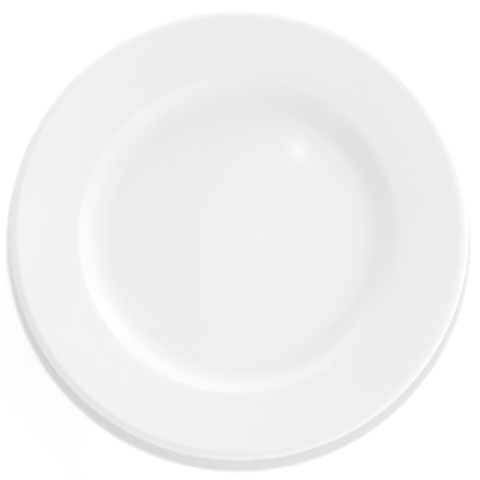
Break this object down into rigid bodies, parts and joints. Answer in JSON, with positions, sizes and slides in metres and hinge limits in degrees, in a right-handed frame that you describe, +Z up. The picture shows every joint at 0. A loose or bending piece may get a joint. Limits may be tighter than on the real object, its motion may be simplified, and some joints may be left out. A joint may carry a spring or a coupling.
{
  "type": "starter plate",
  "caption": "Round white porcelain starter plate with a wide sloping rim, a shallow flat-floored well, a rolled lip and a foot ring with a bare standing face.",
  "frame": {"origin": "centre of the foot ring's standing face, on the plate's axis", "axes": "+Z up along the plate's axis, out of the well; X and Y lie in the standing plane and are alike"},
  "size_m": [0.23, 0.23, 0.0229],
  "materials": {
    "bare_porcelain": "matte",
    "white_glaze": "gloss"
  },
  "bodies": {
    "root": {"porcelain_body": "bare_porcelain", "glaze_coat": "white_glaze", "recess_glaze": "white_glaze"}
  },
  "joints": []
}
